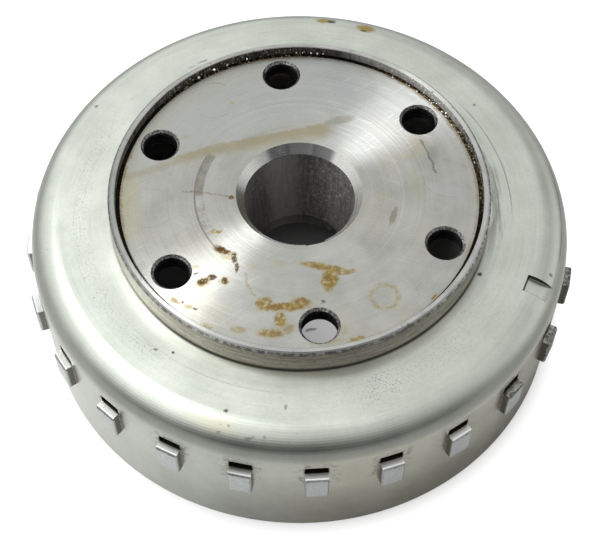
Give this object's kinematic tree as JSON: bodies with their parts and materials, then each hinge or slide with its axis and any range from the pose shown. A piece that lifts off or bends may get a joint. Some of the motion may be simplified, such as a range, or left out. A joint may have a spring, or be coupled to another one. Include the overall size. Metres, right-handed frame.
{
  "type": "flywheel",
  "caption": "Magneto flywheel: a deep-drawn steel cup with timing lugs on its wall, a riveted hub with tapered bore and clutch flange, and a ring of arc magnets inside.",
  "frame": {"origin": "on the axis, in the plane of the open rim that the part rests on", "axes": "+Z along the axis towards the closed end and its hub flange; +X is a plain radial direction, -22.8 degrees from the locating notch on the shoulder; +Y completes the right-handed set"},
  "size_m": [0.1351, 0.136, 0.0485],
  "materials": {
    "cup_steel": "satin pale grey plating, lightly scuffed",
    "hub_steel": "turned bare steel with oil staining",
    "rivet_steel": "turned flush with the clutch face",
    "magnet_ferrite": "dull sintered ferrite",
    "spacer_resin": "moulded, matt black",
    "cover_steel": "pressed stainless sheet"
  },
  "bodies": {
    "root": {"rotor_shell": "cup_steel", "hub_boss": "hub_steel", "magnet_spacer": "spacer_resin", "magnet_cover": "cover_steel", "rivet_01": "rivet_steel", "rivet_02": "rivet_steel", "rivet_03": "rivet_steel", "rivet_04": "rivet_steel", "rivet_05": "rivet_steel", "rivet_06": "rivet_steel", "magnet_01": "magnet_ferrite", "magnet_02": "magnet_ferrite", "magnet_03": "magnet_ferrite", "magnet_04": "magnet_ferrite", "magnet_05": "magnet_ferrite", "magnet_06": "magnet_ferrite", "magnet_07": "magnet_ferrite", "magnet_08": "magnet_ferrite", "magnet_09": "magnet_ferrite", "magnet_10": "magnet_ferrite", "magnet_11": "magnet_ferrite", "magnet_12": "magnet_ferrite"}
  },
  "joints": []
}
